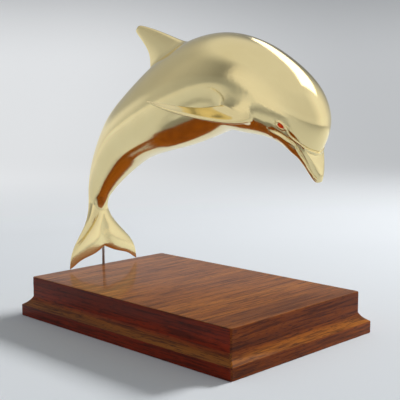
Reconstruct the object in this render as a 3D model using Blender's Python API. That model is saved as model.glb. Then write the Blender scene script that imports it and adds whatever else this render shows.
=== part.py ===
"""Leaping dolphin statue: a polished cast figure held over a walnut plinth by a thin steel rod.

The figure swims towards +X with its middle plane at y = 0. The origin is the centre of the
plinth's underside and +Z is up. Sizes are metres. The figure keeps its proportions as
percentages of FIGURE_HEIGHT, measured from the point where the rod enters the plinth.
"""

from math import cos, pi, radians, sin

import bmesh
import bpy
import numpy as np
from mathutils import Vector
from mathutils.bvhtree import BVHTree

# plinth
SLAB_LENGTH = 0.2150
SLAB_WIDTH = 0.1412
PLINTH_HEIGHT = 0.0313
LEDGE_REACH = 0.0067
LEDGE_HEIGHT = 0.0090
COVE_HEIGHT = 0.0065
COVE_SAG = 0.0007
CORNER_RADIUS = 0.0020
EDGE_RADIUS = 0.0006
CORNER_STEPS = 5
COVE_STEPS = 5
EDGE_STEPS = 3

# support rod
ROD_DIAMETER = 0.0022
ROD_FROM_SLAB_END = 0.0029
ROD_DEPTH_IN_PLINTH = 0.0120
ROD_DEPTH_IN_TAIL = 0.0070
ROD_END_CHAMFER = 0.0003
ROD_X = ROD_FROM_SLAB_END - SLAB_LENGTH / 2
CLEARANCE = 0.0003

# figure
FIGURE_HEIGHT = 0.1970
EYE_DIAMETER = 0.0040
EYE_DEPTH = 0.0030
EYE_RISE = 0.0008
EYELID_LENGTH = 0.0086
EYELID_HEIGHT = 0.0052
EYELID_THICKNESS = 0.0012
ROUND_SEGMENTS = 24
FIGURE_LEVELS = 1

# Stations of the body from the trailing edge of the flukes to the tip of the beak.
# back x, back z, belly x, belly z, half width, sweep of the sides towards the tail,
# angle of the side line, and how closely its two neighbours gather to it (below 0 they part).
STATIONS = (
    (-1.1, 8.2, 2.2, 8.2, 18.7, 8.0, 120, 0.0),
    (-1.3, 12.3, 2.0, 12.3, 17.4, 5.3, 120, 0.0),
    (-2.5, 16.3, 1.5, 16.3, 13.2, 3.6, 120, 0.0),
    (-5.0, 21.2, 1.0, 21.0, 7.2, 1.8, 120, 0.0),
    (-7.1, 26.5, 0.6, 25.6, 4.2, 0.3, 120, 0.0),
    (-6.9, 35.8, 3.6, 31.0, 5.0, 0.0, 120, 0.0),
    (-2.4, 47.8, 10.6, 37.3, 7.6, 0.0, 120, 0.0),
    (8.2, 63.7, 22.4, 45.3, 10.9, 0.0, 120, 0.0),
    (24.2, 76.3, 36.5, 50.1, 13.8, 0.0, 120, 0.0),
    (40.2, 86.6, 51.7, 53.4, 16.3, 0.0, 120, 0.0),
    (56.7, 93.8, 66.2, 57.9, 17.3, 0.0, 118, 0.0),
    (71.2, 96.1, 74.7, 60.4, 17.0, 0.0, 117, -0.4),
    (83.9, 94.0, 81.1, 60.1, 16.3, 0.0, 114, -1.2),
    (95.3, 89.2, 87.2, 59.4, 15.2, 0.0, 108, -1.4),
    (105.1, 83.2, 93.0, 58.9, 13.9, 1.0, 109, -1.0),
    (113.1, 76.0, 97.7, 57.6, 12.6, 3.2, 118, 0.2),
    (117.2, 67.2, 101.3, 55.9, 11.4, 5.8, 124, 1.0),
    (116.9, 60.0, 104.2, 53.9, 10.5, 8.4, 121, 1.0),
    (113.8, 54.2, 105.8, 52.6, 9.8, 9.2, 119, 1.0),
    (113.9, 52.4, 107.3, 51.4, 7.2, 7.6, 112, 1.0),
    (115.5, 49.6, 108.8, 49.3, 4.5, 4.4, 104, 1.0),
    (116.0, 46.4, 111.6, 45.9, 2.7, 1.3, 89, 1.0),
    (115.3, 44.3, 113.4, 44.0, 1.5, 0.3, 90, 1.0),
)
RINGS_PER_STATION = (2, 2, 2, 2, 2, 1, 1, 2, 2, 2, 2, 2, 2) + (1,) * 9
FLUKE_RINGS = 7
# Trailing edge of the flukes, for the first rings: how far each point of a ring sweeps back, and
# how much thinner the edge is there, in steps of an angle from the notch to the tip.
EDGE_RINGS = 2
EDGE_STEP = 15
EDGE_SWEEP = (0.0, 0.29, 0.43, 0.57, 0.84, 0.97, 1.0)
EDGE_THINNING = (0.0, 0.74, 0.74, 0.66, 0.45, 0.10, 0.0)
SHARP_NOTCH = 0.7
HALF_RING = 12
SIDE_MERIDIAN = 8
LIP_ANGLE = 4.0
MOUTH_RINGS = (27, 32)
MOUTH_DEPTH = 0.6
EYE_PLACE = (106.1, 63.5)
EYE_TILT = 40.0

# Blades that grow out of the body: leading edge, trailing edge and half thickness of each
# section, in percent of the figure's height.
DORSAL_FIN = (
    ((51.2, 0.0, 92.5), (31.1, 0.0, 81.6), 2.6),
    ((46.4, 0.0, 94.1), (31.4, 0.0, 85.8), 2.1),
    ((40.5, 0.0, 96.2), (30.7, 0.0, 89.6), 1.7),
    ((34.0, 0.0, 98.3), (28.2, 0.0, 92.8), 1.3),
    ((28.2, 0.0, 99.8), (25.0, 0.0, 96.0), 1.0),
    ((24.6, 0.0, 100.6), (22.5, 0.0, 98.4), 0.8),
)
FLIPPER = (
    ((95.2, 12.8, 64.4), (83.5, 15.8, 70.4), 2.5),
    ((92.8, 16.4, 63.6), (81.8, 17.2, 69.4), 1.4),
    ((87.9, 22.5, 64.5), (77.6, 22.0, 69.2), 1.1),
    ((81.1, 27.6, 66.0), (74.5, 26.6, 69.8), 0.9),
    ((73.1, 31.7, 68.2), (70.1, 31.0, 70.6), 0.7),
    ((66.9, 33.9, 70.9), (65.5, 33.6, 71.6), 0.4),
)
FIN_RINGS = (15, 18)
FLIPPER_RINGS = (22, 25)


def clear_scene():
    for obj in list(bpy.data.objects):
        bpy.data.objects.remove(obj, do_unlink=True)


def plain_material(name, colour, roughness, metallic):
    material = bpy.data.materials.new(name)
    material.use_nodes = True
    shader = material.node_tree.nodes["Principled BSDF"]
    shader.inputs["Base Color"].default_value = (*colour, 1.0)
    shader.inputs["Roughness"].default_value = roughness
    shader.inputs["Metallic"].default_value = metallic
    return material


def new_object(name, bm, material):
    mesh = bpy.data.meshes.new(name)
    bm.to_mesh(mesh)
    bm.free()
    obj = bpy.data.objects.new(name, mesh)
    obj.data.materials.append(material)
    bpy.context.scene.collection.objects.link(obj)
    return obj


def figure_point(across, up, beside=0.0):
    """Place a point of the figure, given in percent of its height."""
    scale = FIGURE_HEIGHT / 100
    return Vector((ROD_X + across * scale, beside * scale, PLINTH_HEIGHT + up * scale))


def smooth_columns(table, steps):
    """Read extra rows between the rows of a table from natural cubic splines."""
    rows = np.array(table, dtype=float)
    count = len(rows)
    middle = (rows[:, 0:2] + rows[:, 2:4]) / 2
    knots = np.concatenate(([0.0], np.cumsum(np.linalg.norm(np.diff(middle, axis=0), axis=1))))
    gaps = np.diff(knots)
    system = np.eye(count)
    target = np.zeros_like(rows)
    for i in range(1, count - 1):
        system[i, i - 1:i + 2] = gaps[i - 1], 2 * (gaps[i - 1] + gaps[i]), gaps[i]
        slope_after = (rows[i + 1] - rows[i]) / gaps[i]
        slope_before = (rows[i] - rows[i - 1]) / gaps[i - 1]
        target[i] = 6 * (slope_after - slope_before)
    bend = np.linalg.solve(system, target)
    result = []
    for i in range(count - 1):
        for step in range(steps[i]):
            ahead = step / steps[i]
            behind = 1 - ahead
            curve = (ahead ** 3 - ahead) * bend[i + 1] + (behind ** 3 - behind) * bend[i]
            result.append(behind * rows[i] + ahead * rows[i + 1] + curve * gaps[i] ** 2 / 6)
    result.append(rows[-1])
    return result


def ring_angles(side_line, gathered):
    """Angles of a half ring, from the back at 0 to the belly at pi."""
    spread = 180 / HALF_RING
    lip = spread + (LIP_ANGLE - spread) * min(gathered, 1.0)
    upper = side_line - lip
    lower = side_line + lip
    angles = [upper * j / (SIDE_MERIDIAN - 1) for j in range(SIDE_MERIDIAN)]
    angles.append(side_line)
    below = HALF_RING - SIDE_MERIDIAN - 1
    angles += [lower + (180 - lower) * j / below for j in range(below + 1)]
    return [radians(angle) for angle in angles]


def ring_points(row, flat, edge):
    """Points of one ring, down the right side (-y) and back up the left."""
    back_x, back_z, belly_x, belly_z, width, sweep, side_line, gathered = row
    back = figure_point(back_x, back_z)
    belly = figure_point(belly_x, belly_z)
    scale = FIGURE_HEIGHT / 100
    middle = (back + belly) / 2
    half = (back - belly) / 2
    ahead = Vector((half.z, 0.0, -half.x)).normalized()
    power = 2.0 - 0.9 * flat if flat else 2.5
    right = []
    for angle in ring_angles(side_line, gathered):
        lift = cos(angle)
        lift = abs(lift) ** (1 + 0.8 * flat) * (1 if lift > 0 else -1)
        along = abs(sin(angle)) ** power
        if edge:
            place = round(min(angle, pi - angle) / radians(EDGE_STEP))
            along += edge * (EDGE_SWEEP[place] - along)
            if lift > 0:
                lift *= 1 - 2 * edge * EDGE_THINNING[place]
        point = middle + half * lift - ahead * (sweep * scale * along)
        point.y = -width * scale * sin(angle)
        right.append(point)
    right[0].y = right[-1].y = 0.0
    left = [Vector((p.x, -p.y, p.z)) for p in reversed(right[1:-1])]
    return right + left


def sharpen(bm, first, second, amount):
    edge = bm.edges.get((first, second))
    edge[bm.edges.layers.float["crease_edge"]] = amount


def figure_cage():
    rows = smooth_columns(STATIONS, RINGS_PER_STATION)
    bm = bmesh.new()
    bm.verts.layers.int.new("along")
    bm.verts.layers.int.new("across")
    bm.edges.layers.float.new("crease_edge")
    around = HALF_RING * 2
    ring = bmesh.ops.create_circle(bm, segments=around, radius=FIGURE_HEIGHT / 100)["verts"]
    rings = [ring]
    for _ in rows[1:]:
        edges = [e for e in bm.edges if e.verts[0] in rings[-1] and e.verts[1] in rings[-1]]
        made = bmesh.ops.extrude_edge_only(bm, edges=edges)["geom"]
        fresh = {v for v in made if isinstance(v, bmesh.types.BMVert)}
        step = []
        for vert in rings[-1]:
            step.append(next(e.other_vert(vert) for e in vert.link_edges if e.other_vert(vert) in fresh))
        rings.append(step)
    for k, (ring, row) in enumerate(zip(rings, rows)):
        flat = max(0.0, 1.0 - k / FLUKE_RINGS)
        edge = max(0.0, 1.0 - k / EDGE_RINGS)
        for vert, point in zip(ring, ring_points(row, flat, edge)):
            vert.co = point
        if MOUTH_RINGS[0] <= k <= MOUTH_RINGS[1]:
            middle = sum((vert.co for vert in ring), Vector()) / around
            for j in (SIDE_MERIDIAN, -SIDE_MERIDIAN):
                inward = (middle - ring[j].co).normalized()
                ring[j].co += inward * MOUTH_DEPTH * FIGURE_HEIGHT / 100
    for end in (rings[0], rings[-1]):
        for j in range(HALF_RING // 2):
            pair = [end[j], end[j + 1], end[HALF_RING - j - 1], end[HALF_RING - j]]
            mirror = [end[-j], end[-j - 1], end[HALF_RING + j + 1], end[(HALF_RING + j) % around]]
            for quad in (pair, mirror):
                corners = list(dict.fromkeys(quad))
                if len(corners) > 2:
                    bm.faces.new(corners)
    sharpen(bm, rings[0][0], rings[0][HALF_RING], 1.0)
    for j in (0, HALF_RING):
        sharpen(bm, rings[0][j], rings[1][j], SHARP_NOTCH)
    return bm, rings


def grow_blade(bm, grid, sections, side):
    """Extrude a patch of the body, a grid of corners from leading to trailing, into a blade."""
    along = bm.verts.layers.int["along"]
    across = bm.verts.layers.int["across"]
    corners = set()
    for a, row in enumerate(grid):
        for b, vert in enumerate(row):
            vert[along] = a
            vert[across] = b
            corners.add(vert)
    last_a = len(grid) - 1
    last_b = len(grid[0]) - 1
    faces = [f for f in bm.faces if all(v in corners for v in f.verts)]
    points = [[figure_point(p[0], p[2], p[1] * side) for p in section[:2]] for section in sections]
    for k, (lead, trail) in enumerate(points):
        half = sections[k][2] * FIGURE_HEIGHT / 100
        before = points[max(k - 1, 0)]
        after = points[min(k + 1, len(points) - 1)]
        chord = trail - lead
        span = (after[0] + after[1] - before[0] - before[1]) / 2
        thick = chord.cross(span).normalized()
        if thick.dot(grid[0][0].co - grid[0][-1].co) < 0:
            thick.negate()
        made = bmesh.ops.extrude_face_region(bm, geom=faces)["geom"]
        bmesh.ops.delete(bm, geom=faces, context="FACES")
        faces = [g for g in made if isinstance(g, bmesh.types.BMFace)]
        for vert in {v for f in faces for v in f.verts}:
            a = vert[along] / last_a
            b = 1 - 2 * vert[across] / last_b
            belly = 0.75 + 0.9 * a - 1.45 * a * a
            vert.co = lead + chord * a + thick * (half * belly * b)
            if abs(b) < 0.5 and a < 0.1:
                vert.co -= chord.normalized() * half * 0.5
    return faces


def applied(obj):
    """Swap an object's mesh for the one its modifiers make."""
    graph = bpy.context.evaluated_depsgraph_get()
    obj.data = bpy.data.meshes.new_from_object(obj.evaluated_get(graph))
    obj.modifiers.clear()
    return obj


def body_of_figure(material):
    bm, rings = figure_cage()
    low, high = FIN_RINGS
    grid = [[rings[k][j] for j in (1, 0, -1)] for k in range(high, low - 1, -1)]
    grow_blade(bm, grid, DORSAL_FIN, 1)
    low, high = FLIPPER_RINGS
    for side in (-1, 1):
        upper, lower = SIDE_MERIDIAN, SIDE_MERIDIAN + 1
        if side > 0:
            upper, lower = -upper, -lower
        grid = [[rings[k][upper], rings[k][lower]] for k in range(high, low - 1, -1)]
        grow_blade(bm, grid, FLIPPER, side)
    bmesh.ops.recalc_face_normals(bm, faces=bm.faces)
    figure = new_object("dolphin", bm, material)
    smooth = figure.modifiers.new("smooth", "SUBSURF")
    smooth.levels = FIGURE_LEVELS
    smooth.render_levels = FIGURE_LEVELS
    bpy.context.view_layer.update()
    return applied(figure)


def eye_seat(tree, side):
    """Find the point and the outward direction of the head where an eye sits."""
    place = figure_point(*EYE_PLACE)
    place.y = side * FIGURE_HEIGHT
    point, outward, _, _ = tree.ray_cast(place, Vector((0.0, -side, 0.0)))
    return point, outward


def turned_piece(name, profile, point, outward, material):
    """Turn a piece from (radius, height) steps and stand it on a point."""
    bm = bmesh.new()
    bmesh.ops.create_circle(bm, cap_ends=True, segments=ROUND_SEGMENTS, radius=profile[0][0])
    bmesh.ops.translate(bm, verts=bm.verts, vec=(0.0, 0.0, profile[0][1]))
    bm.faces.ensure_lookup_table()
    top = bm.faces[0]
    for step, (radius, height) in enumerate(profile[1:]):
        made = bmesh.ops.extrude_face_region(bm, geom=[top])["geom"]
        if step:
            bmesh.ops.delete(bm, geom=[top], context="FACES")
        top = next(g for g in made if isinstance(g, bmesh.types.BMFace))
        for vert in top.verts:
            flat = Vector((vert.co.x, vert.co.y, 0.0)).normalized() * radius
            vert.co = flat + Vector((0.0, 0.0, height))
    bmesh.ops.recalc_face_normals(bm, faces=bm.faces)
    obj = new_object(name, bm, material)
    obj.location = point
    obj.rotation_euler = outward.to_track_quat("Z", "Y").to_euler()
    return obj


def hidden_tool(obj):
    obj.hide_render = True
    obj.display_type = "WIRE"
    return obj


def shape_with(obj, tool, operation):
    change = obj.modifiers.new(operation.lower(), "BOOLEAN")
    change.operation = operation
    change.solver = "EXACT"
    change.object = hidden_tool(tool)


def make_eyelid(tree, side, point, outward, material):
    """Lay an almond-shaped rim on the head around an eye."""
    tilt = radians(EYE_TILT)
    forward = Vector((cos(tilt), 0.0, -sin(tilt)))
    length_way = (forward - outward * forward.dot(outward)).normalized()
    height_way = outward.cross(length_way)
    thick = EYELID_THICKNESS / 2
    curve = bpy.data.curves.new("eyelid", "CURVE")
    curve.dimensions = "3D"
    curve.bevel_depth = thick
    curve.bevel_resolution = 1
    spline = curve.splines.new("POLY")
    count = ROUND_SEGMENTS
    spline.points.add(count - 1)
    for i in range(count):
        angle = 2 * pi * i / count
        x = cos(angle) * (EYELID_LENGTH / 2 - thick)
        y = sin(angle) * (EYELID_HEIGHT / 2 - thick)
        near = point + length_way * x + height_way * y
        onto = tree.find_nearest(near)[0]
        spline.points[i].co = (*(onto - outward * thick * 0.2), 1.0)
    spline.use_cyclic_u = True
    guide = bpy.data.objects.new("eyelid_guide", curve)
    bpy.context.scene.collection.objects.link(guide)
    bpy.context.view_layer.update()
    graph = bpy.context.evaluated_depsgraph_get()
    mesh = bpy.data.meshes.new_from_object(guide.evaluated_get(graph))
    mesh.materials.clear()
    mesh.materials.append(material)
    bpy.data.objects.remove(guide, do_unlink=True)
    rim = bpy.data.objects.new("eyelid_rim", mesh)
    bpy.context.scene.collection.objects.link(rim)
    return rim


def make_figure(gold, ruby):
    figure = body_of_figure(gold)
    graph = bpy.context.evaluated_depsgraph_get()
    tree = BVHTree.FromObject(figure, graph)
    radius = EYE_DIAMETER / 2
    dome = [(radius * cos(radians(a)), EYE_RISE * sin(radians(a))) for a in (0, 25, 50, 72)]
    pocket = [(radius + CLEARANCE, -EYE_DEPTH - CLEARANCE), (radius + CLEARANCE, EYE_DIAMETER)]
    for side, name in ((-1, "eye_right"), (1, "eye_left")):
        point, outward = eye_seat(tree, side)
        shape_with(figure, make_eyelid(tree, side, point, outward, gold), "UNION")
        shape_with(figure, turned_piece("eye_pocket", pocket, point, outward, gold), "DIFFERENCE")
        eye = turned_piece(name, [(radius, -EYE_DEPTH)] + dome, point, outward, ruby)
        eye.data.shade_smooth()
    notch = figure_point(0.0, STATIONS[0][1])
    reach = ROD_DEPTH_IN_TAIL + CLEARANCE
    hole = ROD_DIAMETER / 2 + CLEARANCE
    socket = [(hole, -reach), (hole, reach)]
    shape_with(figure, turned_piece("tail_socket", socket, notch, Vector((0, 0, 1)), gold), "DIFFERENCE")
    figure.data.shade_smooth()
    return figure


def make_rod(material):
    bottom = PLINTH_HEIGHT - ROD_DEPTH_IN_PLINTH
    top = figure_point(0.0, STATIONS[0][1]).z + ROD_DEPTH_IN_TAIL
    radius = ROD_DIAMETER / 2
    tip = radius - ROD_END_CHAMFER
    profile = [(tip, bottom), (radius, bottom + ROD_END_CHAMFER),
               (radius, top - ROD_END_CHAMFER), (tip, top)]
    rod = turned_piece("support_rod", profile, Vector((ROD_X, 0, 0)), Vector((0, 0, 1)), material)
    rod.data.shade_smooth()
    rod.data.set_sharp_from_angle(angle=radians(35))
    return rod


def plinth_outline(reach, height):
    """Rounded rectangle of the slab, grown outwards by reach."""
    corner = CORNER_RADIUS
    half_x = SLAB_LENGTH / 2 + reach - corner
    half_y = SLAB_WIDTH / 2 + reach - corner
    points = []
    for quarter in range(4):
        centre_x = half_x if quarter in (0, 3) else -half_x
        centre_y = half_y if quarter in (0, 1) else -half_y
        for step in range(CORNER_STEPS + 1):
            angle = pi / 2 * (quarter + step / CORNER_STEPS)
            points.append((centre_x + corner * cos(angle), centre_y + corner * sin(angle), height))
    return points


def plinth_profile():
    """Steps (reach, height) up the plinth's side: ledge, shallow cove and slab."""
    steps = [(LEDGE_REACH, 0.0), (LEDGE_REACH, LEDGE_HEIGHT - EDGE_RADIUS)]
    for i in range(COVE_STEPS + 1):
        part = i / COVE_STEPS
        sag = COVE_SAG * sin(pi * part)
        reach = (LEDGE_REACH - EDGE_RADIUS) * (1 - part)
        steps.append((reach - sag, LEDGE_HEIGHT + COVE_HEIGHT * part - sag * 0.3))
    for i in range(EDGE_STEPS + 1):
        angle = pi / 2 * i / EDGE_STEPS
        steps.append((EDGE_RADIUS * (cos(angle) - 1), PLINTH_HEIGHT + EDGE_RADIUS * (sin(angle) - 1)))
    return steps


def make_plinth(material):
    bm = bmesh.new()
    profile = plinth_profile()
    count = 4 * (CORNER_STEPS + 1)
    bmesh.ops.create_circle(bm, cap_ends=True, segments=count, radius=SLAB_WIDTH / 2)
    bm.faces.ensure_lookup_table()
    top = bm.faces[0]
    for vert, point in zip(top.verts, plinth_outline(*profile[0])):
        vert.co = point
    for step, (reach, height) in enumerate(profile[1:]):
        made = bmesh.ops.extrude_face_region(bm, geom=[top])["geom"]
        if step:
            bmesh.ops.delete(bm, geom=[top], context="FACES")
        top = next(g for g in made if isinstance(g, bmesh.types.BMFace))
        for vert, point in zip(top.verts, plinth_outline(reach, height)):
            vert.co = point
    bmesh.ops.recalc_face_normals(bm, faces=bm.faces)
    plinth = new_object("plinth", bm, material)
    hole = ROD_DIAMETER / 2 + CLEARANCE
    depth = ROD_DEPTH_IN_PLINTH + CLEARANCE
    socket = [(hole, PLINTH_HEIGHT - depth), (hole, PLINTH_HEIGHT + depth)]
    up = Vector((0, 0, 1))
    shape_with(plinth, turned_piece("rod_hole", socket, Vector((ROD_X, 0, 0)), up, material), "DIFFERENCE")
    return plinth


def main():
    clear_scene()
    gold = plain_material("polished_gold", (0.83, 0.70, 0.40), 0.18, 1.0)
    ruby = plain_material("ruby_red", (0.72, 0.02, 0.01), 0.05, 0.0)
    steel = plain_material("steel", (0.48, 0.46, 0.46), 0.25, 1.0)
    walnut = plain_material("walnut", (0.22, 0.10, 0.05), 0.30, 0.0)
    make_plinth(walnut)
    make_rod(steel)
    make_figure(gold, ruby)


if __name__ == "__main__":
    main()
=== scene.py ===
from math import cos, exp, pi, radians, sin

import bmesh
import bpy
import numpy as np
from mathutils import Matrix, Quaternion, Vector
from mathutils.bvhtree import BVHTree
from mathutils.kdtree import KDTree


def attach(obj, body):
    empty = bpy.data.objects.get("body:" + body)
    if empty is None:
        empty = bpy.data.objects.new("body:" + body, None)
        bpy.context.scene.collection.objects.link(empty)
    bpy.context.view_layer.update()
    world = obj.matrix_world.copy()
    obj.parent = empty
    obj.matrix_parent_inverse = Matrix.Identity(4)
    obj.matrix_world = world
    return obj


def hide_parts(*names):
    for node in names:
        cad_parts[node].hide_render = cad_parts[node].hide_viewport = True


# leaping dolphin statue: a polished pale gold casting held by a rod over a walnut plinth
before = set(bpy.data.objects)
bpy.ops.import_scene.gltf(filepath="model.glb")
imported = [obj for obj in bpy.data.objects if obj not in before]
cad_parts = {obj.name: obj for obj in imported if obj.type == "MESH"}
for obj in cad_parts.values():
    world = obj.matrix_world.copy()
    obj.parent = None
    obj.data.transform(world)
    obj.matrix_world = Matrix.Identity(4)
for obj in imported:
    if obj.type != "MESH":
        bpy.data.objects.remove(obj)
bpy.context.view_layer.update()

# plinth and rod, in metres
SLAB_LENGTH = 0.2150
SLAB_WIDTH = 0.1412
PLINTH_HEIGHT = 0.0313
LEDGE_REACH = 0.0067
LEDGE_HEIGHT = 0.0090
COVE_HEIGHT = 0.0065
COVE_SAG = 0.0007
CORNER_RADIUS = 0.0020
EDGE_RADIUS = 0.0006
CORNER_STEPS = 10
COVE_STEPS = 12
EDGE_STEPS = 5
ROD_DIAMETER = 0.0022
ROD_X = -0.1046
ROD_DEPTH_IN_PLINTH = 0.0120
ROD_DEPTH_IN_TAIL = 0.0070
ROD_END_CHAMFER = 0.0003

# figure: its height, and the ring by ring shape of its body in percent of that height:
# back x, back z, belly x, belly z, half width, sweep of the sides towards the tail,
# angle of the side line, and how closely its two neighbours gather to it
FIGURE_HEIGHT = 0.1970
PERCENT = FIGURE_HEIGHT / 100
STATIONS = (
    (-1.1, 8.2, 2.2, 8.2, 18.7, 8.0, 120, 0.0),
    (-1.3, 12.3, 2.0, 12.3, 17.4, 5.3, 120, 0.0),
    (-2.5, 16.3, 1.5, 16.3, 13.2, 3.6, 120, 0.0),
    (-5.0, 21.2, 1.0, 21.0, 7.2, 1.8, 120, 0.0),
    (-7.1, 26.5, 0.6, 25.6, 4.2, 0.3, 120, 0.0),
    (-6.9, 35.8, 3.6, 31.0, 5.0, 0.0, 120, 0.0),
    (-2.4, 47.8, 10.6, 37.3, 7.6, 0.0, 120, 0.0),
    (8.2, 63.7, 22.4, 45.3, 10.9, 0.0, 120, 0.0),
    (24.2, 76.3, 36.5, 50.1, 13.8, 0.0, 120, 0.0),
    (40.2, 86.6, 51.7, 53.4, 16.3, 0.0, 120, 0.0),
    (56.7, 93.8, 66.2, 57.9, 17.3, 0.0, 118, 0.0),
    (71.2, 96.1, 74.7, 60.4, 17.0, 0.0, 117, -0.4),
    (83.9, 94.0, 81.1, 60.1, 16.3, 0.0, 114, -1.2),
    (95.3, 89.2, 87.2, 59.4, 15.2, 0.0, 108, -1.4),
    (105.1, 83.2, 93.0, 58.9, 13.9, 1.0, 109, -1.0),
    (113.1, 76.0, 97.7, 57.6, 12.6, 3.2, 118, 0.2),
    (117.2, 67.2, 101.3, 55.9, 11.4, 5.8, 124, 1.0),
    (116.9, 60.0, 104.2, 53.9, 10.5, 8.4, 121, 1.0),
    (113.8, 54.2, 105.8, 52.6, 9.8, 9.2, 119, 1.0),
    (113.9, 52.4, 107.3, 51.4, 7.2, 7.6, 112, 1.0),
    (115.5, 49.6, 108.8, 49.3, 4.5, 4.4, 104, 1.0),
    (116.0, 46.4, 111.6, 45.9, 2.7, 1.3, 89, 1.0),
    (115.3, 44.3, 113.4, 44.0, 1.5, 0.3, 90, 1.0),
)
RINGS_PER_STATION = (2, 2, 2, 2, 2, 1, 1, 2, 2, 2, 2, 2, 2) + (1,) * 9
FLUKE_RINGS = 7
EDGE_RINGS = 2
EDGE_STEP = 15
EDGE_SWEEP = (0.0, 0.29, 0.43, 0.57, 0.84, 0.97, 1.0)
EDGE_THINNING = (0.0, 0.74, 0.74, 0.66, 0.45, 0.10, 0.0)
SHARP_NOTCH = 0.7
SQUARE_FLANK = ((7, 9, 13, 15, 19), (0.0, 0.12, 0.12, 0.08, 0.0))
MOUTH_RINGS = (27, 32)
HALF_RING = 12
SIDE_MERIDIAN = 8
LIP_ANGLE = 4.0
MOUTH_DEPTH = 0.6
FINE_LEVELS = 3

# blades: leading edge, trailing edge and half thickness of each section
DORSAL_FIN = (
    ((51.2, 0.0, 92.5), (31.1, 0.0, 81.6), 2.6),
    ((46.4, 0.0, 94.1), (31.4, 0.0, 85.8), 2.1),
    ((40.5, 0.0, 96.2), (30.7, 0.0, 89.6), 1.7),
    ((34.0, 0.0, 98.3), (28.2, 0.0, 92.8), 1.3),
    ((28.2, 0.0, 99.8), (25.0, 0.0, 96.0), 1.0),
    ((24.6, 0.0, 100.6), (22.5, 0.0, 98.4), 0.8),
)
FLIPPER = (
    ((95.2, 12.8, 64.4), (83.5, 15.8, 70.4), 2.5),
    ((92.8, 16.4, 63.6), (81.8, 17.2, 69.4), 1.4),
    ((87.9, 22.5, 64.5), (77.6, 22.0, 69.2), 1.1),
    ((81.1, 27.6, 66.0), (74.5, 26.6, 69.8), 0.9),
    ((73.1, 31.7, 68.2), (70.1, 31.0, 70.6), 0.7),
    ((66.9, 33.9, 70.9), (65.5, 33.6, 71.6), 0.4),
)
FLIPPER_TOP = (0.75, 0.32, 0.04, -0.16)
BLADE_BELLY = (0.75, 0.9, -1.45)
BLADE_NOSE = 0.5
FIN_RINGS = (15, 18)
FLIPPER_RINGS = (22, 25)

# lines pressed into the head, as points ahead, beside and up in percent of its height,
# and the width, depth and lip of each at its first and at its last point, in metres
CREASE_LINE = (
    (107.6, 10.3, 64.2), (108.2, 9.8, 62.8), (108.4, 8.3, 60.5), (109.1, 7.5, 59.4), (110.0, 7.0, 58.5),
    (112.0, 6.2, 57.0), (113.0, 4.8, 56.1), (113.6, 3.4, 55.4), (113.9, 1.3, 54.8), (114.0, 0.0, 54.6),
)
CREASE_CUT = ((0.00045, 0.00030, 0.00012), (0.00050, 0.00065, 0.00030))
MOUTH_LINE = (
    (100.4, 9.8, 62.3), (102.6, 9.1, 61.3), (104.8, 8.5, 60.4), (106.2, 8.1, 59.5), (107.2, 7.4, 58.7),
    (108.5, 6.5, 57.8), (109.3, 5.9, 56.8), (109.5, 5.3, 55.5), (110.3, 4.3, 53.2), (111.6, 3.5, 50.9),
    (112.9, 2.8, 48.3), (114.1, 2.4, 46.9), (114.8, 1.7, 45.8),
)
MOUTH_CUT = ((0.00110, 0.00080, 0.00020), (0.00030, 0.00040, 0.00012))
THROAT_LINE = ((99.6, 10.2, 62.9), (99.6, 9.6, 62.1), (99.5, 8.7, 61.0), (99.6, 7.4, 60.0))
THROAT_CUT = ((0.00050, 0.00030, 0.00020), (0.00070, 0.00045, 0.00030))
LINE_STEPS = 6
LINE_REACH = 0.0039
LINE_START_SHARE = 0.12
LIP_OFFSET = 1.7

# finer mesh near the lines and the eyes: its reach, how finely faces are cut, and how often it is relaxed
LINE_PATCH = 0.0021
EYE_PATCH = 0.0053
PATCH_CUTS = 2
RELAX_ROUNDS = 6

# valley between the lobes of the flukes: top, bottom and front in percent of the figure's height,
# widths and depth in metres, and how soon it reaches its depth
VALLEY_ENDS = (22.5, 6.0)
VALLEY_FRONT = 5
VALLEY_WIDTHS = (0.0016, 0.0080)
VALLEY_DEPTH = 0.0011
VALLEY_HASTE = 1.3

# eyes: their place in percent of the figure's height, their tilt in degrees, and sizes in metres
EYE_PLACE = (106.1, 63.5)
EYE_TILT = 40.0
EYE_DIAMETER = 0.0040
EYE_DEPTH = 0.0030
EYE_RISE = 0.0008
EYE_OPENING = 0.0034
EYE_OPENING_HEIGHT = 0.0013
EYELID_RISE = 0.0008
EYELID_WIDTH = 0.0006
EYE_REACH = 0.0060
EYE_SUNK = 0.0007
CORNER_SHARE = 0.5
LID_POWER = 2.2
LID_EDGE = 0.0001
LID_SOFTNESS = 0.00012
ROUND_STEPS = 48

# light tent: radius of its flat floor, radius of its bends, and how much its walls glow by bearing, as
# painted light
TENT_FLOOR = 1.7
TENT_BEND = 1.2
TENT_FOOT = (0.25, 0.9)
TENT_ROOF = 0.52
# painted light: the glow of the floor's cloth away from the statue
FLOOR_GLOW = 0.56
FLOOR_GLOW_REACH = (0.05, 1.25)
# painted shade: the cloth far from the statue, and the wall above it, is darker
FAR_CLOTH_PAINTED_SHADE = (0.54, 0.57, 0.60, 1.0)
TENT_TURN = 100.0
TENT_GLOW = (
    (-180, 0.25), (-160, 0.25), (-145, 0.30), (-130, 0.22), (-116, 0.06), (-112, 0.10),
    (-107, 0.38), (-98, 0.48), (-88, 0.50), (-70, 0.50), (-40, 0.47), (0, 0.46),
    (15, 0.58), (35, 0.74), (60, 0.66), (79, 0.44), (81, 0.44), (110, 0.04),
    (122, 0.06), (138, 0.18), (155, 0.20),
)

# strip card leaning over the back, rising towards the tail
STRIP_PLACE = (-0.425, 1.238, 1.45)
STRIP_FACING = (0.643, 0.766, 0.0)
STRIP_ROLL = 20.0
STRIP_SIZE = (2.7, 0.8)
STRIP_GLOW = 1.8

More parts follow.
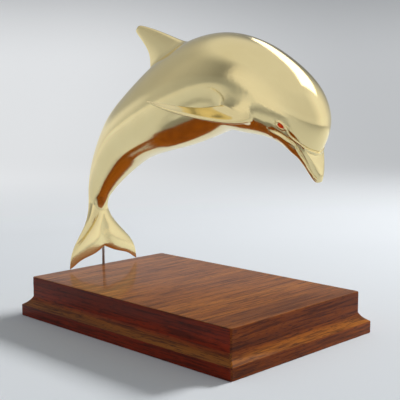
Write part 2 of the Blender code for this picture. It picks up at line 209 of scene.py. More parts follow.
# soft window above and behind the statue, and the light of the air
WINDOW_PLACE = (0.38, 2.50, 1.25)
WINDOW_SIZE = (0.8, 0.5)
WINDOW_GLOW = 4.0
WINDOW_SPREAD = 38.0
AIR_LIGHT = (0.33, 0.34, 0.35, 1.0)

# curved card standing close by on the camera's left: its bearings, distance, height and glow
CARD_BEARINGS = (-107.0, -56.0)
CARD_FADE = (-96.0, -58.0)
CARD_DISTANCE = 0.6
CARD_HEIGHT = 1.3
CARD_RISE_FADE = (0.42, 1.2)
CARD_GLOW = 0.80
STAGE_STEPS = 96
ARC_START = 0.1
ARC_STEPS = 14

# camera: the point that it looks at, its bearing and rise from there, its distance, and its lens
CAMERA_TARGET = (0.08087, -0.07078, 0.110)
CAMERA_AZIMUTH = 44.5486
CAMERA_ELEVATION = 7.3398
CAMERA_DISTANCE = 0.54017
FOCUS_IN_WIDTHS = 852.645 / 400
SENSOR_WIDTH = 36.0


class Strand:
    """A socket of a finish that takes part in sums."""

    def __init__(self, finish, socket):
        self.finish = finish
        self.socket = socket

    def worked(self, operation, first, second=0.0):
        return self.finish.add("ShaderNodeMath", {"operation": operation}, {0: first, 1: second})

    def __add__(self, other):
        return self.worked("ADD", self, other)

    def __sub__(self, other):
        return self.worked("SUBTRACT", self, other)

    def __rsub__(self, other):
        return self.worked("SUBTRACT", other, self)

    def __mul__(self, other):
        return self.worked("MULTIPLY", self, other)

    def __truediv__(self, other):
        return self.worked("DIVIDE", self, other)

    def __pow__(self, other):
        return self.worked("POWER", self, other)

    def __abs__(self):
        return self.worked("ABSOLUTE", self)

    __radd__ = __add__
    __rmul__ = __mul__


class Finish:
    """A named material and the nodes that give it its finish."""

    def __init__(self, name, constants):
        self.material = bpy.data.materials.new(name)
        self.material.use_nodes = True
        self.tree = self.material.node_tree
        self.shader = self.tree.nodes["Principled BSDF"]
        for socket, value in constants.items():
            self.shader.inputs[socket].default_value = value

    def add(self, kind, settings=None, sockets=None, output=0):
        node = self.tree.nodes.new(kind)
        for name, value in (settings or {}).items():
            if name == "stops":
                ramp = node.color_ramp.elements
                while len(ramp) < len(value):
                    ramp.new(0.5)
                for stop, (place, colour) in zip(ramp, value):
                    stop.position = place
                    stop.color = (*colour, 1.0)
            else:
                setattr(node, name, value)
        for name, value in (sockets or {}).items():
            self.feed(node.inputs[name], value)
        return Strand(self, node.outputs[output])

    def feed(self, target, value):
        if isinstance(value, Strand):
            self.tree.links.new(value.socket, target)
        else:
            target.default_value = value

    def place(self):
        return self.add("ShaderNodeTexCoord", output="Object")

    def parts(self, vector):
        split = "ShaderNodeSeparateXYZ"
        return [self.add(split, {}, {0: vector}, output=i) for i in range(3)]

    def stretched(self, vector, scale):
        return self.add("ShaderNodeMapping", {}, {"Vector": vector, "Scale": scale})

    def noise(self, vector, scale, detail=2.0, roughness=0.5, distortion=0.0):
        sockets = {"Vector": vector, "Scale": scale, "Detail": detail,
                   "Roughness": roughness, "Distortion": distortion}
        return self.add("ShaderNodeTexNoise", {}, sockets)

    def ramp(self, value, *stops):
        return self.add("ShaderNodeValToRGB", {"stops": stops}, {0: value})

    def between(self, value, low, high, to_low=0.0, to_high=1.0):
        sockets = {0: value, 1: low, 2: high, 3: to_low, 4: to_high}
        return self.add("ShaderNodeMapRange", {"interpolation_type": "SMOOTHSTEP"}, sockets)

    def blended(self, share, first, second, mode="MIX"):
        settings = {"data_type": "RGBA", "blend_type": mode}
        return self.add("ShaderNodeMix", settings, {0: share, 6: first, 7: second}, output=2)

    def bumped(self, height, distance, below=None):
        sockets = {"Height": height, "Distance": distance, "Strength": 1.0}
        if below:
            sockets["Normal"] = below
        return self.add("ShaderNodeBump", {}, sockets)


def gold_finish():
    finish = Finish("polished_gold", {"Metallic": 1.0})
    place = finish.place()
    cloud = finish.noise(place, 22.0, 3.0)
    colour = finish.ramp(cloud, (0.3, (0.90, 0.74, 0.38)), (0.7, (0.95, 0.80, 0.43)))
    haze = finish.noise(place, 60.0, 4.0, 0.6)
    grain = finish.noise(place, 2600.0, 1.0)
    finish.feed(finish.shader.inputs["Base Color"], colour)
    finish.feed(finish.shader.inputs["Roughness"], 0.08 + haze * 0.04 + grain * 0.03)
    ripple = finish.bumped(haze, 0.00012)
    finish.feed(finish.shader.inputs["Normal"], finish.bumped(grain, 0.000012, ripple))
    return finish.material


def stone_finish():
    finish = Finish("ruby_red", {"Roughness": 0.30, "Specular IOR Level": 0.12})
    place = finish.place()
    flaws = finish.noise(place, 700.0, 2.0)
    colour = finish.ramp(flaws, (0.35, (0.60, 0.004, 0.0)), (0.65, (1.0, 0.08, 0.0)))
    finish.feed(finish.shader.inputs["Base Color"], colour)
    return finish.material


def steel_finish():
    finish = Finish("steel", {"Metallic": 1.0})
    place = finish.place()
    drawn = finish.noise(finish.stretched(place, (1.0, 1.0, 0.02)), 3000.0, 2.0)
    finish.feed(finish.shader.inputs["Base Color"],
                finish.ramp(drawn, (0.3, (0.25, 0.20, 0.18)), (0.7, (0.40, 0.33, 0.30))))
    finish.feed(finish.shader.inputs["Roughness"], 0.22 + drawn * 0.16)
    finish.feed(finish.shader.inputs["Normal"], finish.bumped(drawn, 0.00001))
    return finish.material


def walnut_finish():
    """Walnut with the grain across the top, and along each moulded side."""
    finish = Finish("walnut", {
        "Coat Weight": 0.20, "Coat Roughness": 0.09, "Coat Tint": (1.0, 0.80, 0.60, 1.0),
        "Specular IOR Level": 0.12, "Specular Tint": (1.0, 0.75, 0.5, 1.0)})
    place = finish.place()
    facing = finish.add("ShaderNodeTexCoord", output="Normal")
    facing_x, facing_y, facing_z = finish.parts(facing)
    long_side = finish.between(abs(facing_y) - abs(facing_x), 0.15, 0.25)
    x, y, z = finish.parts(place)
    turned = finish.add("ShaderNodeCombineXYZ", {}, {0: y + 0.31, 1: x, 2: z})
    lie = finish.blended(long_side, place, turned)
    drift = finish.noise(finish.stretched(lie, (1.0, 0.35, 1.0)), 9.0, 2.0)
    wander = finish.add("ShaderNodeVectorMath", {"operation": "MULTIPLY_ADD"},
                        {0: drift, 1: (0.012, 0.0, 0.012), 2: lie})
    broad = finish.noise(finish.stretched(wander, (1.0, 0.05, 1.0)), 95.0, 3.0, 0.55)
    fine = finish.noise(finish.stretched(wander, (1.0, 0.035, 1.0)), 620.0, 3.0, 0.65)
    pores = finish.noise(finish.stretched(wander, (1.0, 0.07, 1.0)), 1900.0, 1.0)
    figure = finish.ramp(broad, (0.30, (0.170, 0.044, 0.002)), (0.50, (0.290, 0.084, 0.004)),
                         (0.68, (0.400, 0.130, 0.007)))
    streaks = finish.between(fine, 0.46, 0.62)
    pits = finish.between(pores, 0.56, 0.66)
    colour = finish.blended(streaks * 0.70, figure, (0.060, 0.009, 0.001, 1.0))
    colour = finish.blended(pits * 0.6, colour, (0.025, 0.005, 0.001, 1.0))
    # painted shade: the sides are multiplied darker than the top, the long sides darker and redder than the
    # ends
    painted_side_shade = finish.blended(long_side, (0.66, 0.42, 0.22, 1.0), (0.68, 0.15, 0.05, 1.0))
    side_shaded_colour = finish.blended(1.0, colour, painted_side_shade, "MULTIPLY")
    colour = finish.blended(finish.between(facing_z, 0.4, 0.8), side_shaded_colour, colour)
    finish.feed(finish.shader.inputs["Base Color"], colour)
    finish.feed(finish.shader.inputs["Roughness"], 0.36 + fine * 0.18)
    relief = finish.bumped(fine * 0.5 - pits * 0.6, 0.00003)
    finish.feed(finish.shader.inputs["Normal"], relief)
    return finish.material


def wall_finish():
    """Cloth walls and roof of the light tent, with a painted glow that is brighter and darker by bearing, in
    place of lamps behind them.
    """
    finish = Finish("tent_wall", {"Roughness": 1.0, "Specular IOR Level": 0.0, "Emission Strength": 1.0})
    x, y, z = finish.parts(finish.place())
    turn = radians(TENT_TURN)
    sideways = x * sin(turn) + y * cos(turn)
    onward = x * cos(turn) - y * sin(turn)
    bearing = sideways.worked("ARCTAN2", sideways, onward) * (0.5 / pi) + 0.5
    slope = z / (x * x + y * y) ** 0.5
    stops = [((azimuth + TENT_TURN + 180) % 360 / 360, (glow,) * 3) for azimuth, glow in TENT_GLOW]
    walls = finish.ramp(bearing, *sorted(stops))
    roof = finish.between(slope, 0.75, 1.6)
    foot = finish.between(z, *TENT_FOOT)
    glow = finish.blended(roof, walls, (TENT_ROOF, TENT_ROOF, TENT_ROOF, 1.0))
    behind = finish.between(y - x, -0.5, 2.0)
    lowest = finish.blended((1.0 - foot) * behind, (0.0, 0.0, 0.0, 1.0), floor_glow(finish, x, y))
    glow = finish.blended(1.0, glow, lowest, "LIGHTEN")
    # painted shade: the wall's cloth darkens upwards, from the far cloth's colour to 0.46
    shade = finish.blended(foot, FAR_CLOTH_PAINTED_SHADE, (0.46, 0.47, 0.48, 1.0))
    finish.feed(finish.shader.inputs["Base Color"], shade)
    finish.feed(finish.shader.inputs["Emission Color"], glow)
    return finish.material


def floor_glow(finish, x, y):
    """Painted glow of the floor's cloth, away from the statue."""
    away = finish.between((x * x + y * y) ** 0.5, *FLOOR_GLOW_REACH)
    leftward = finish.between(x * -0.71 + y * -0.70, -0.6, 0.5, 0.6, 1.0)
    behind = finish.between(y - x, -0.8, 0.8, 0.45, 1.0)
    return finish.blended(away * leftward * behind, (0.0, 0.0, 0.0, 1.0), (FLOOR_GLOW,) * 3 + (1.0,))


def floor_finish():
    """Pale plain cloth of the floor, with a painted glow."""
    finish = Finish("tent_floor", {"Roughness": 1.0, "Specular IOR Level": 0.0, "Emission Strength": 1.0})
    place = finish.place()
    x, y, _ = finish.parts(place)
    finish.feed(finish.shader.inputs["Emission Color"], floor_glow(finish, x, y))
    cloth = finish.noise(place, 3.0, 2.0)
    shade = finish.ramp(cloth, (0.0, (0.72, 0.75, 0.78)), (1.0, (0.76, 0.79, 0.82)))
    # painted shade: the floor's cloth darkens to the far cloth's colour away from the statue
    shade = finish.blended(finish.between((x * x + y * y) ** 0.5, 0.5, TENT_FLOOR), shade, FAR_CLOTH_PAINTED_SHADE)
    finish.feed(finish.shader.inputs["Base Color"], shade)
    return finish.material


def card_finish():
    """Glowing card with one crisp edge, that thins out to the other edge and to its top."""
    constants = {"Base Color": (0.0, 0.0, 0.0, 1.0), "Specular IOR Level": 0.0,
                 "Emission Color": (1.0, 1.0, 1.0, 1.0), "Emission Strength": CARD_GLOW}
    finish = Finish("glowing_card", constants)
    x, y, z = finish.parts(finish.place())
    bearing = y.worked("ARCTAN2", y, x) * (180 / pi)
    across = finish.between(bearing, *CARD_FADE, 1.0, 0.0)
    upward = finish.between(z, *CARD_RISE_FADE, 1.0, 0.0)
    finish.feed(finish.shader.inputs["Alpha"], across * upward)
    return finish.material


def new_piece(name, bm, material, node):
    """Make a piece of a mesh: it rides with the statue and stands for a node of the frame."""
    mesh = bpy.data.meshes.new(name)
    bm.to_mesh(mesh)
    bm.free()
    piece = bpy.data.objects.new(name, mesh)
    bpy.context.scene.collection.objects.link(piece)
    mesh.materials.append(material)
    mesh.shade_smooth()
    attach(piece, "root")
    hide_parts(node)
    return piece


def figure_point(across, up, beside=0.0):
    """Place a point of the figure, given in percent of its height."""
    return Vector((ROD_X + across * PERCENT, beside * PERCENT, PLINTH_HEIGHT + up * PERCENT))


def smooth_columns(table, steps):
    """Read extra rows between the rows of the body's table."""
    rows = np.array(table, dtype=float)
    return smooth_rows(rows, (rows[:, 0:2] + rows[:, 2:4]) / 2, steps)


def smooth_rows(rows, path, steps):
    """Read extra rows between rows from natural cubic splines, spaced as their points on a path."""
    count = len(rows)
    gaps = np.linalg.norm(np.diff(path, axis=0), axis=1)
    system = np.eye(count)
    target = np.zeros_like(rows)
    for i in range(1, count - 1):
        system[i, i - 1:i + 2] = gaps[i - 1], 2 * (gaps[i - 1] + gaps[i]), gaps[i]
        slope_after = (rows[i + 1] - rows[i]) / gaps[i]
        slope_before = (rows[i] - rows[i - 1]) / gaps[i - 1]
        target[i] = 6 * (slope_after - slope_before)
    bend = np.linalg.solve(system, target)
    result = []
    for i in range(count - 1):
        for step in range(steps[i]):
            ahead = step / steps[i]
            behind = 1 - ahead
            curve = (ahead ** 3 - ahead) * bend[i + 1] + (behind ** 3 - behind) * bend[i]
            result.append(behind * rows[i] + ahead * rows[i + 1] + curve * gaps[i] ** 2 / 6)
    result.append(rows[-1])
    return result


def ring_angles(side_line, gathered):
    """Angles of a half ring, from the back at 0 to the belly at pi."""
    spread = 180 / HALF_RING
    lip = spread + (LIP_ANGLE - spread) * min(gathered, 1.0)
    upper = side_line - lip
    lower = side_line + lip
    angles = [upper * j / (SIDE_MERIDIAN - 1) for j in range(SIDE_MERIDIAN)]
    angles.append(side_line)
    below = HALF_RING - SIDE_MERIDIAN - 1
    angles += [lower + (180 - lower) * j / below for j in range(below + 1)]
    return [radians(angle) for angle in angles]


def ring_points(row, flat, edge, square):
    """Points of one ring, down the right side (-y) and back up the left."""
    back_x, back_z, belly_x, belly_z, width, sweep, side_line, gathered = row
    back = figure_point(back_x, back_z)
    belly = figure_point(belly_x, belly_z)
    middle = (back + belly) / 2
    half = (back - belly) / 2
    ahead = Vector((half.z, 0.0, -half.x)).normalized()
    power = 2.0 - 0.9 * flat if flat else 2.5
    right = []
    for angle in ring_angles(side_line, gathered):
        lift = cos(angle)
        lift = abs(lift) ** (1 + 0.8 * flat) * (1 if lift > 0 else -1)
        side = sin(angle)
        if lift < 0:
            lift = -abs(lift) ** (1 - square)
            side = side ** (1 - square)
        along = abs(sin(angle)) ** power
        if edge:
            place = round(min(angle, pi - angle) / radians(EDGE_STEP))
            if lift > 0:
                lift *= 1 - 2 * edge * EDGE_THINNING[place]
            along += edge * (EDGE_SWEEP[place] - along)
        point = middle + half * lift - ahead * (sweep * PERCENT * along)
        point.y = -width * PERCENT * side
        right.append(point)
    right[0].y = right[-1].y = 0.0
    left = [Vector((p.x, -p.y, p.z)) for p in reversed(right[1:-1])]
    return right + left


def next_ring(bm, ring):
    """Extrude a ring of edges and return the new ring in the same order."""
    ends = set(ring)
    edges = [e for e in bm.edges if e.verts[0] in ends and e.verts[1] in ends]
    made = bmesh.ops.extrude_edge_only(bm, edges=edges)["geom"]
    fresh = {v for v in made if isinstance(v, bmesh.types.BMVert)}
    return [next(e.other_vert(v) for e in v.link_edges if e.other_vert(v) in fresh) for v in ring]


def sharpen(bm, first, second, amount):
    edge = bm.edges.get((first, second))
    edge[bm.edges.layers.float["crease_edge"]] = amount


def body_cage():
    rows = smooth_columns(STATIONS, RINGS_PER_STATION)
    bm = bmesh.new()
    bm.verts.layers.int.new("along")
    bm.verts.layers.int.new("across")
    bm.edges.layers.float.new("crease_edge")
    around = HALF_RING * 2
    rings = [bmesh.ops.create_circle(bm, segments=around, radius=PERCENT)["verts"]]
    while len(rings) < len(rows):
        rings.append(next_ring(bm, rings[-1]))
    for k, (ring, row) in enumerate(zip(rings, rows)):
        flat = max(0.0, 1.0 - k / FLUKE_RINGS)
        edge = max(0.0, 1.0 - k / EDGE_RINGS)
        square = np.interp(k, *SQUARE_FLANK)
        for vert, point in zip(ring, ring_points(row, flat, edge, square)):
            vert.co = point
    carve_mouth(bm, rings)
    for end in (rings[0], rings[-1]):
        close_end(bm, end)
    sharpen(bm, rings[0][0], rings[0][HALF_RING], 1.0)
    for j in (0, HALF_RING):
        sharpen(bm, rings[0][j], rings[1][j], SHARP_NOTCH)
    return bm, rings


def carve_mouth(bm, rings):
    first, last = MOUTH_RINGS
    for k in range(first, last + 1):
        middle = sum((vert.co for vert in rings[k]), Vector()) / len(rings[k])
        for j in (SIDE_MERIDIAN, -SIDE_MERIDIAN):
            inward = (middle - rings[k][j].co).normalized()
            rings[k][j].co += inward * MOUTH_DEPTH * PERCENT


def close_end(bm, ring):
    around = len(ring)
    for j in range(HALF_RING // 2):
        right = [ring[j], ring[j + 1], ring[HALF_RING - j - 1], ring[HALF_RING - j]]
        left = [ring[-j], ring[-j - 1], ring[HALF_RING + j + 1], ring[(HALF_RING + j) % around]]
        for quad in (right, left):
            corners = list(dict.fromkeys(quad))
            if len(corners) > 2:
                bm.faces.new(corners)


def grow_blade(bm, grid, sections, side, tops=()):
    """Extrude a patch of the body, a grid of corners from leading to trailing, into a blade."""
    along = bm.verts.layers.int["along"]
    across = bm.verts.layers.int["across"]
    corners = set()
    for a, row in enumerate(grid):
        for b, vert in enumerate(row):
            vert[along] = a
            vert[across] = b
            corners.add(vert)
    last_a = len(grid) - 1
    last_b = len(grid[0]) - 1
    faces = [f for f in bm.faces if all(v in corners for v in f.verts)]
    points = [[figure_point(p[0], p[2], p[1] * side) for p in section[:2]] for section in sections]
    for k, (lead, trail) in enumerate(points):
        half = sections[k][2] * PERCENT
        before = points[max(k - 1, 0)]
        after = points[min(k + 1, len(points) - 1)]
        chord = trail - lead
        span = (after[0] + after[1] - before[0] - before[1]) / 2
        thick = chord.cross(span).normalized()
        if thick.dot(grid[0][0].co - grid[0][-1].co) < 0:
            thick.negate()
        made = bmesh.ops.extrude_face_region(bm, geom=faces)["geom"]
        bmesh.ops.delete(bm, geom=faces, context="FACES")
        faces = [g for g in made if isinstance(g, bmesh.types.BMFace)]
        for vert in {v for f in faces for v in f.verts}:
            a = vert[along] / last_a
            b = 1 - 2 * vert[across] / last_b
            belly = BLADE_BELLY[0] + BLADE_BELLY[1] * a + BLADE_BELLY[2] * a * a
            if b > 0 and tops:
                ease = min(1.0, 0.5 + k / 2)
                belly += (tops[vert[along]] - belly) * ease
            vert.co = lead + chord * a + thick * (half * belly * b)
            if abs(b) < 0.5 and a < 0.1:
                vert.co -= chord.normalized() * half * BLADE_NOSE


def fine_body():
    """The figure's cage with fins and flippers, smoothed to a fine mesh."""
    bm, rings = body_cage()
    low, high = FIN_RINGS
    grid = [[rings[k][j] for j in (1, 0, -1)] for k in range(high, low - 1, -1)]
    grow_blade(bm, grid, DORSAL_FIN, 1)
    low, high = FLIPPER_RINGS
    for side in (-1, 1):
        upper, lower = SIDE_MERIDIAN, SIDE_MERIDIAN + 1
        if side > 0:
            upper, lower = -upper, -lower
        grid = [[rings[k][upper], rings[k][lower]] for k in range(high, low - 1, -1)]
        grow_blade(bm, grid, FLIPPER, side, FLIPPER_TOP)
    bmesh.ops.recalc_face_normals(bm, faces=bm.faces)
    mesh = bpy.data.meshes.new("figure_cage")
    bm.to_mesh(mesh)
    bm.free()
    shaper = bpy.data.objects.new("figure_cage", mesh)
    bpy.context.scene.collection.objects.link(shaper)
    smooth = shaper.modifiers.new("smooth", "SUBSURF")
    smooth.levels = smooth.render_levels = FINE_LEVELS
    bpy.context.view_layer.update()
    graph = bpy.context.evaluated_depsgraph_get()
    fine = bmesh.new()
    fine.from_mesh(shaper.evaluated_get(graph).to_mesh())
    bpy.data.objects.remove(shaper, do_unlink=True)
    for layer in list(fine.verts.layers.int):
        fine.verts.layers.int.remove(layer)
    return fine


def eye_seats(tree):
    """Point, outward, lengthwise and heightwise directions of both eyes."""
    tilt = radians(EYE_TILT)
    seats = {}
    for side in (-1, 1):
        place = figure_point(*EYE_PLACE)
        place.y = side * FIGURE_HEIGHT
        point, outward, _, _ = tree.ray_cast(place, Vector((0.0, -side, 0.0)))
        forward = Vector((cos(tilt), 0.0, -sin(tilt)))
        lengthwise = (forward - outward * forward.dot(outward)).normalized()
        seats[side] = (point, outward, lengthwise, outward.cross(lengthwise))
    return seats


def line_on(tree, line, side):
    """Lay a line on one side of the figure's skin, with smooth steps between its points."""
    laid = [tree.find_nearest(figure_point(x, z, y * side))[0] for x, y, z in line]
    points = np.array([tuple(point) for point in laid])
    return np.array(smooth_rows(points, points, [LINE_STEPS] * (len(points) - 1)))


def refine_near(bm, places, eyes):
    """Cut the faces near the lines and the eyes finer, and relax them so that they stay round."""
    finder = KDTree(len(places))
    for i, place in enumerate(places):
        finder.insert(place, i)
    finder.balance()
    near = []
    for face in bm.faces:
        middle = face.calc_center_median()
        from_eye = min((middle - eye).length for eye in eyes)
        if from_eye < EYE_PATCH or finder.find(middle)[2] < LINE_PATCH:
            near.append(face)
    edges = list(dict.fromkeys(e for f in near for e in f.edges))
    made = bmesh.ops.subdivide_edges(bm, edges=edges, cuts=PATCH_CUTS, use_grid_fill=True, smooth=0.0)
    fresh = [g for g in made["geom_inner"] + made["geom_split"] if isinstance(g, bmesh.types.BMVert)]
    fresh = list(dict.fromkeys(fresh + [v for e in edges if e.is_valid for v in e.verts]))
    for _ in range(RELAX_ROUNDS):
        bmesh.ops.smooth_vert(bm, verts=fresh, factor=0.5, use_axis_x=True, use_axis_y=True, use_axis_z=True)


def press_line(bm, line, cut):
    """Press a groove along a line, with a raised lip below it."""
    bm.normal_update()
    start = line[:-1]
    run = line[1:] - start
    length = np.linalg.norm(run, axis=1)
    passed = np.concatenate(([0.0], np.cumsum(length)))
    low = Vector(line.min(axis=0) - LINE_REACH)
    high = Vector(line.max(axis=0) + LINE_REACH)
    first, last = np.array(cut[0]), np.array(cut[1])
    for vert in bm.verts:
        if not all(low[i] < vert.co[i] < high[i] for i in range(3)):
            continue
        place = np.array(vert.co)
        share = np.clip(((place - start) * run).sum(axis=1) / length ** 2, 0.0, 1.0)
        offsets = place - (start + run * share[:, None])
        far = np.linalg.norm(offsets, axis=1)
        i = int(far.argmin())
        if far[i] > LINE_REACH:
            continue
        t = (passed[i] + share[i] * length[i]) / passed[-1]
        width, depth, lip = first + (last - first) * t
        down = Vector(run[i]).cross(vert.normal).normalized()
        beside = Vector(offsets[i]).dot(down) * (-1 if down.z > 0 else 1)
        reach = far[i] / width
        groove = depth * exp(-reach * reach)
        edge = lip * exp(-((beside / width - LIP_OFFSET) ** 2)) if beside > 0 else 0.0
        fade = min(t / LINE_START_SHARE, 1.0)
        vert.co += vert.normal * ((edge - groove) * fade)


def press_valley(bm):
    """Press a valley between the two lobes of the flukes, wider towards the notch."""
    bm.normal_update()
    top, bottom = VALLEY_ENDS
    for vert in bm.verts:
        up = (vert.co.z - PLINTH_HEIGHT) / PERCENT
        if bottom < up < top and vert.normal.x > 0 and vert.co.x < ROD_X + VALLEY_FRONT * PERCENT:
            down = (top - up) / (top - bottom)
            width = VALLEY_WIDTHS[0] + (VALLEY_WIDTHS[1] - VALLEY_WIDTHS[0]) * down
            depth = VALLEY_DEPTH * sin(pi * min(down * VALLEY_HASTE, 1.0) / 2) * vert.normal.x
            vert.co.x -= depth * exp(-(vert.co.y / width) ** 2)


def lid_gap(u, w):
    """Distance from a point to the edge of the almond opening, negative inside."""
    share = abs(u) / EYE_OPENING
    if share >= 1:
        return ((abs(u) - EYE_OPENING) ** 2 + w * w) ** 0.5
    edge = EYE_OPENING_HEIGHT * (1 - share ** LID_POWER)
    slope = LID_POWER * EYE_OPENING_HEIGHT / EYE_OPENING * share ** (LID_POWER - 1)
    return (abs(w) - edge) / (1 + slope * slope) ** 0.5


def form_eyelids(bm, seat):
    """Raise an almond rim round the eye and sink the opening inside it."""
    point, outward, lengthwise, heightwise = seat
    for vert in bm.verts:
        away = vert.co - point
        if away.length > EYE_REACH:
            continue
        u = away.dot(lengthwise)
        gap = lid_gap(u, away.dot(heightwise))
        rim = gap - EYELID_WIDTH
        lift = EYELID_RISE * exp(-(rim / EYELID_WIDTH) ** 2)
        floor = EYE_SUNK if abs(u) < EYE_DIAMETER / 2 else EYE_SUNK * CORNER_SHARE
        sunk = floor / (1 + exp((gap + LID_EDGE) / LID_SOFTNESS))
        vert.co += outward * (lift - sunk)


def make_dolphin(material):
    bm = fine_body()
    tree = BVHTree.FromBMesh(bm)
    seats = eye_seats(tree)
    crease = line_on(tree, CREASE_LINE, -1)
    crease = np.concatenate((crease, crease[-2::-1] * (1, -1, 1)))
    places = [tuple(point) for point in crease]
    sides = []
    for line, cut in ((MOUTH_LINE, MOUTH_CUT), (THROAT_LINE, THROAT_CUT)):
        for side in (-1, 1):
            laid = line_on(tree, line, side)
            sides.append((laid, cut))
            places += [tuple(point) for point in laid]
    refine_near(bm, places, [seat[0] for seat in seats.values()])
    for laid, cut in sides:
        press_line(bm, laid, cut)
    half = len(crease) // 2
    for laid in (crease[:half + 1], crease[:half - 1:-1]):
        press_line(bm, laid, CREASE_CUT)
    press_valley(bm)
    for side in (-1, 1):
        form_eyelids(bm, seats[side])
    new_piece("dolphin_polished", bm, material, "dolphin")
    return seats


def make_eye(name, node, seat, material):
    """Spin a domed stone and set it in the head."""
    point, outward, _, _ = seat
    radius = EYE_DIAMETER / 2
    bm = bmesh.new()
    steps = [(0.0, -EYE_DEPTH), (radius, -EYE_DEPTH)]
    steps += [(radius * cos(radians(a)), EYE_RISE * sin(radians(a))) for a in range(0, 90, 9)]
    steps.append((0.0, EYE_RISE))
    verts = [bm.verts.new((r, 0.0, z)) for r, z in steps]
    edges = [bm.edges.new(pair) for pair in zip(verts, verts[1:])]
    bmesh.ops.spin(bm, geom=verts + edges, axis=(0, 0, 1), cent=(0, 0, 0), steps=ROUND_STEPS,
                   angle=2 * pi, use_merge=True)
    bmesh.ops.remove_doubles(bm, verts=bm.verts, dist=1e-6)
    bmesh.ops.recalc_face_normals(bm, faces=bm.faces)
    bmesh.ops.transform(bm, matrix=outward.to_track_quat("Z", "Y").to_matrix().to_4x4(), verts=bm.verts)
    bmesh.ops.translate(bm, vec=point, verts=bm.verts)
    eye = new_piece(name, bm, material, node)
    eye.data.set_sharp_from_angle(angle=radians(50))


def make_rod(material):
    bottom = PLINTH_HEIGHT - ROD_DEPTH_IN_PLINTH
    top = figure_point(0.0, STATIONS[0][1]).z + ROD_DEPTH_IN_TAIL
    bm = bmesh.new()
    bmesh.ops.create_circle(bm, cap_ends=True, segments=ROUND_STEPS, radius=ROD_DIAMETER / 2)
    base = list(bm.faces)
    made = bmesh.ops.extrude_face_region(bm, geom=base, use_keep_orig=True)["geom"]
    lid = [g for g in made if isinstance(g, bmesh.types.BMVert)]
    bmesh.ops.translate(bm, verts=lid, vec=(0.0, 0.0, top - bottom))
    rims = [e for e in bm.edges if e.calc_face_angle(0.0) > 1.0]
    bmesh.ops.bevel(bm, geom=rims, offset=ROD_END_CHAMFER, affect="EDGES", segments=3,
                    profile=0.5, material=-1)
    bmesh.ops.recalc_face_normals(bm, faces=bm.faces)
    bmesh.ops.translate(bm, verts=bm.verts, vec=(ROD_X, 0.0, bottom))
    rod = new_piece("support_rod_drawn", bm, material, "support_rod")
    rod.data.set_sharp_from_angle(angle=radians(40))


def plinth_outline(reach, height):
    """Rounded rectangle of the slab, grown outwards by reach."""
    half_x = SLAB_LENGTH / 2 + reach - CORNER_RADIUS
    half_y = SLAB_WIDTH / 2 + reach - CORNER_RADIUS
    points = []
    for quarter in range(4):
        centre_x = half_x if quarter in (0, 3) else -half_x
        centre_y = half_y if quarter in (0, 1) else -half_y
        for step in range(CORNER_STEPS + 1):
            angle = pi / 2 * (quarter + step / CORNER_STEPS)
            x = centre_x + CORNER_RADIUS * cos(angle)
            y = centre_y + CORNER_RADIUS * sin(angle)
            points.append((x, y, height))
    return points


def plinth_profile():
    """Steps (reach, height) up the plinth's side: ledge, shallow cove and slab."""
    steps = [(LEDGE_REACH - 0.0003, 0.0), (LEDGE_REACH, 0.0003)]
    for i in range(EDGE_STEPS + 1):
        angle = pi / 2 * i / EDGE_STEPS
        steps.append((LEDGE_REACH + EDGE_RADIUS * (cos(angle) - 1),
                      LEDGE_HEIGHT + EDGE_RADIUS * (sin(angle) - 1)))
    for i in range(1, COVE_STEPS + 1):
        part = i / COVE_STEPS
        sag = COVE_SAG * sin(pi * part)
        reach = (LEDGE_REACH - EDGE_RADIUS) * (1 - part)
        steps.append((reach - sag, LEDGE_HEIGHT + COVE_HEIGHT * part - sag * 0.3))
    for i in range(EDGE_STEPS + 1):
        angle = pi / 2 * i / EDGE_STEPS
        steps.append((EDGE_RADIUS * (cos(angle) - 1), PLINTH_HEIGHT + EDGE_RADIUS * (sin(angle) - 1)))
    return steps


def make_plinth(material):
    bm = bmesh.new()
    profile = plinth_profile()
    count = 4 * (CORNER_STEPS + 1)
    ring = bmesh.ops.create_circle(bm, segments=count, radius=SLAB_WIDTH / 2)["verts"]
    first = ring
    for reach, height in profile:
        if ring is not first or height > 0:
            ring = next_ring(bm, ring)
        for vert, point in zip(ring, plinth_outline(reach, height)):
            vert.co = point
    bm.faces.new(first)
    bm.faces.new(ring)
    bmesh.ops.recalc_face_normals(bm, faces=bm.faces)
    plinth = new_piece("plinth_moulded", bm, material, "plinth")
    plinth.data.set_sharp_from_angle(angle=radians(24))


def spun_stage(name, steps, material, first, turn):
    """Spin a profile of (radius, height) steps into a piece of the studio."""
    bm = bmesh.new()
    verts = [bm.verts.new((r * cos(first), r * sin(first), z)) for r, z in steps]
    edges = [bm.edges.new(pair) for pair in zip(verts, verts[1:])]
    bmesh.ops.spin(bm, geom=verts + edges, axis=(0, 0, 1), cent=(0, 0, 0), steps=STAGE_STEPS,
                   angle=turn, use_merge=turn > 6)
    bmesh.ops.remove_doubles(bm, verts=bm.verts, dist=1e-5)
    bmesh.ops.recalc_face_normals(bm, faces=bm.faces)
    face = min(bm.faces, key=lambda f: f.calc_center_median().z)
    if face.normal.dot(Vector((0.0, 0.0, 0.5)) - face.calc_center_median()) < 0:
        bmesh.ops.reverse_faces(bm, faces=bm.faces)
    mesh = bpy.data.meshes.new(name)
    bm.to_mesh(mesh)
    bm.free()
    piece = bpy.data.objects.new(name, mesh)
    bpy.context.scene.collection.objects.link(piece)
    mesh.materials.append(material)
    mesh.shade_smooth()
    return piece


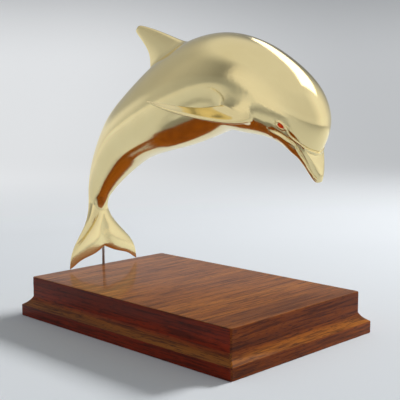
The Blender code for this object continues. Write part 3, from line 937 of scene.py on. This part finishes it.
def make_tent():
    """Round light tent: a wide floor, and curved walls that close in a roof."""
    spun_stage("tent_floor", [(0.0, 0.0), (0.4, 0.0), (TENT_FLOOR, 0.0)], floor_finish(), 0.0, 2 * pi)
    wall = TENT_FLOOR + TENT_BEND
    steps = [(TENT_FLOOR, 0.0)]
    for angle in np.linspace(ARC_START, pi / 2, ARC_STEPS):
        steps.append((TENT_FLOOR + TENT_BEND * sin(angle), TENT_BEND * (1 - cos(angle))))
    for angle in np.linspace(ARC_START, pi / 2, ARC_STEPS):
        steps.append((wall * cos(angle), TENT_BEND + wall * sin(angle)))
    walls = spun_stage("tent_wall", steps, wall_finish(), 0.0, 2 * pi)
    walls.visible_diffuse = False
    first, last = (radians(bearing) for bearing in CARD_BEARINGS)
    steps = [(CARD_DISTANCE, 0.001), (CARD_DISTANCE, CARD_HEIGHT)]
    card = spun_stage("glowing_card", steps, card_finish(), first, last - first)
    card.visible_diffuse = False
    card.visible_camera = False
    card.visible_shadow = False


def hang_lamp(name, place, turn, size, glow):
    """Hang a flat lamp; glow is how bright its face looks."""
    light = bpy.data.lights.new(name, "AREA")
    light.shape = "RECTANGLE"
    light.size, light.size_y = size
    light.energy = glow * pi * size[0] * size[1]
    lamp = bpy.data.objects.new(name, light)
    lamp.location = place
    lamp.rotation_euler = turn
    bpy.context.scene.collection.objects.link(lamp)
    return lamp


def light_studio():
    world = bpy.data.worlds.new("studio_air")
    world.use_nodes = True
    sky = world.node_tree.nodes["Background"]
    sky.inputs["Color"].default_value = AIR_LIGHT
    bpy.context.scene.world = world
    facing = Vector(STRIP_FACING).to_track_quat("Z", "Y")
    turn = (facing @ Quaternion((0.0, 0.0, 1.0), radians(STRIP_ROLL))).to_euler()
    strip = hang_lamp("strip_card", STRIP_PLACE, turn, STRIP_SIZE, STRIP_GLOW)
    strip.visible_diffuse = False
    turn = Vector(WINDOW_PLACE).to_track_quat("Z", "Y").to_euler()
    window = hang_lamp("soft_window", WINDOW_PLACE, turn, WINDOW_SIZE, WINDOW_GLOW)
    window.data.spread = radians(WINDOW_SPREAD)
    window.visible_glossy = False


def place_camera():
    """Stand the camera where the photograph was taken from."""
    azimuth = radians(CAMERA_AZIMUTH)
    elevation = radians(CAMERA_ELEVATION)
    out = Vector((sin(azimuth) * cos(elevation), -cos(azimuth) * cos(elevation), sin(elevation)))
    camera = bpy.data.objects.new("camera", bpy.data.cameras.new("camera"))
    camera.data.sensor_width = SENSOR_WIDTH
    camera.data.lens = FOCUS_IN_WIDTHS * SENSOR_WIDTH
    camera.location = Vector(CAMERA_TARGET) + out * CAMERA_DISTANCE
    camera.rotation_euler = out.to_track_quat("Z", "Y").to_euler()
    bpy.context.scene.collection.objects.link(camera)
    bpy.context.scene.camera = camera


gold = gold_finish()
stone = stone_finish()
seats = make_dolphin(gold)
make_eye("eye_right_stone", "eye_right", seats[-1], stone)
make_eye("eye_left_stone", "eye_left", seats[1], stone)
make_rod(steel_finish())
make_plinth(walnut_finish())
make_tent()
light_studio()
place_camera()
bpy.context.scene.view_settings.view_transform = "Standard"
